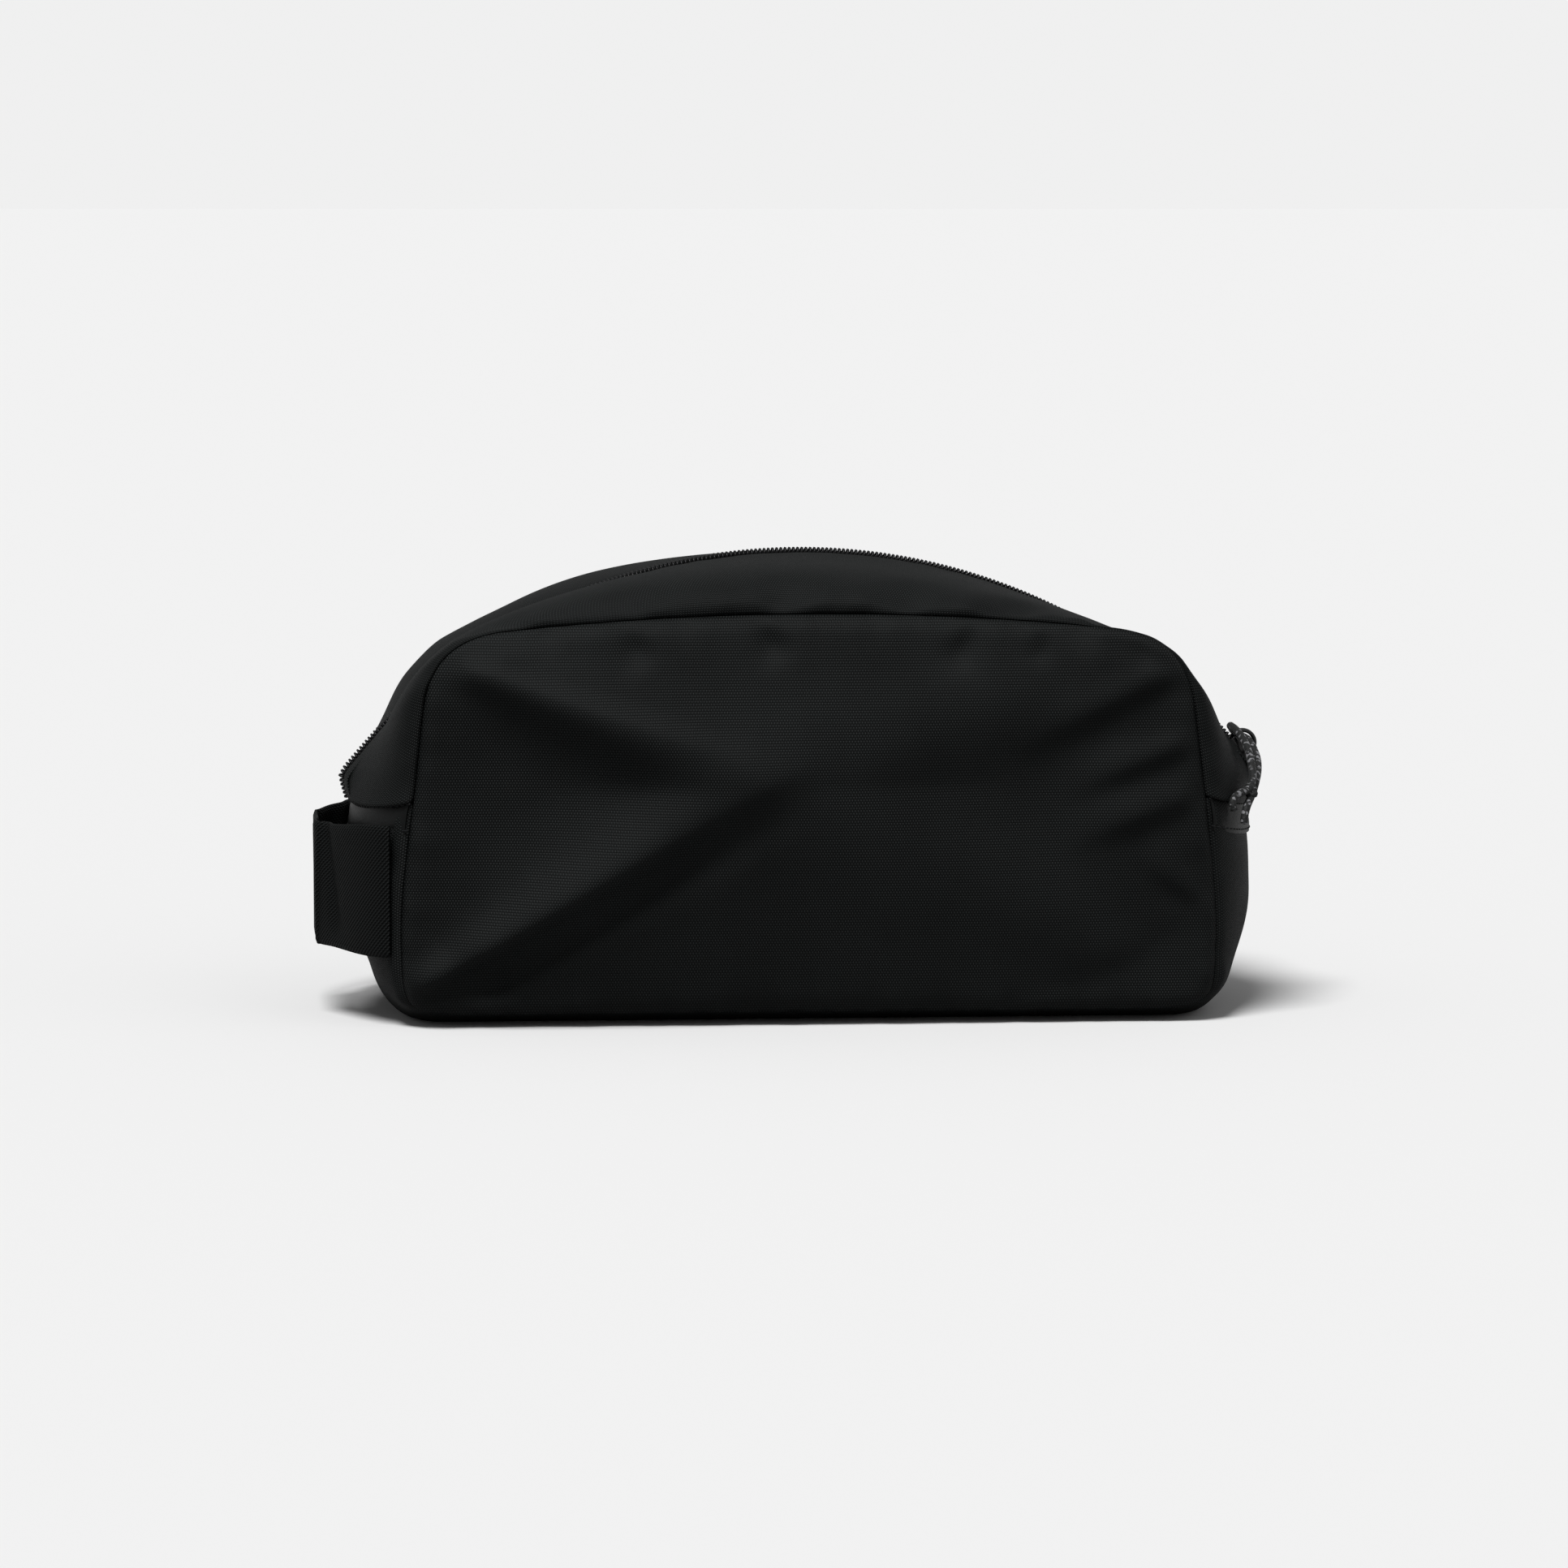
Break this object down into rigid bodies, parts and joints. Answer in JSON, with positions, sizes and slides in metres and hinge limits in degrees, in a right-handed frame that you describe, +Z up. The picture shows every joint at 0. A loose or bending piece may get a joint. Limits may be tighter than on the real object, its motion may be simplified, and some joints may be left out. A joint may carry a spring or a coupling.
{
  "type": "toiletry bag",
  "caption": "Soft box-shaped wash bag with puffed panels, a zip over its crown, a cord pull and a webbing carry loop on one end.",
  "frame": {"origin": "middle of the base, on the surface the bag stands on", "axes": "+X along the bag towards the end with the closed slider, -Y towards the front panel, +Z up"},
  "size_m": [0.2868, 0.1158, 0.1383],
  "materials": {
    "coated_cloth": "coated basketweave polyester, low sheen",
    "smooth_cloth": "coated cloth folded flat and topstitched, low sheen",
    "lining": "plain polyester lining",
    "binding_tape": "grosgrain binding tape",
    "webbing": "chevron twill polyester webbing",
    "zip_tape": "herringbone woven zip tape",
    "zip_coil": "semi-matt nylon coil",
    "slider_metal": "gloss black enamel over die-cast metal",
    "pull_cord": "braided cord, black with pale flecks"
  },
  "bodies": {
    "base": {"lower_gusset": "coated_cloth", "gusset_lining": "lining", "left_end_tab": "smooth_cloth", "right_end_tab": "smooth_cloth", "carry_handle": "webbing"},
    "front_side": {"front_panel": "coated_cloth", "front_lining": "lining", "front_top_strip": "coated_cloth", "front_strip_lining": "lining", "front_seam_binding": "binding_tape", "front_zip_tape": "zip_tape", "front_zip_coil": "zip_coil"},
    "back_side": {"back_panel": "coated_cloth", "back_lining": "lining", "back_top_strip": "coated_cloth", "back_strip_lining": "lining", "back_seam_binding": "binding_tape", "back_zip_tape": "zip_tape", "back_zip_coil": "zip_coil"},
    "slider": {"slider_body": "slider_metal", "slider_bridge": "slider_metal"},
    "pull": {"pull_cord": "pull_cord", "pull_knot": "pull_cord"}
  },
  "joints": [
    {"name": "front_spread", "type": "hinge", "parent": "base", "child": "front_side", "pos_m": [0, -0.05, 0.004], "axis": [1, 0, 0], "range_deg": [0, 18], "deforming": ["front_zip_tape", "front_zip_coil"]},
    {"name": "back_spread", "type": "hinge", "parent": "base", "child": "back_side", "pos_m": [0, 0.05, 0.004], "axis": [-1, 0, 0], "range_deg": [0, 18], "deforming": ["back_zip_tape", "back_zip_coil"]},
    {"name": "slider_travel", "type": "hinge", "parent": "base", "child": "slider", "pos_m": [0, 0, -0.04128], "axis": [0, -1, 0], "range_deg": [0, 96], "deforming": ["pull_cord", "pull_knot"]},
    {"name": "pull_swing", "type": "hinge", "parent": "slider", "child": "pull", "pos_m": [0.1368, 0, 0.0794], "axis": [0, -1, 0], "range_deg": [0, 110]}
  ]
}
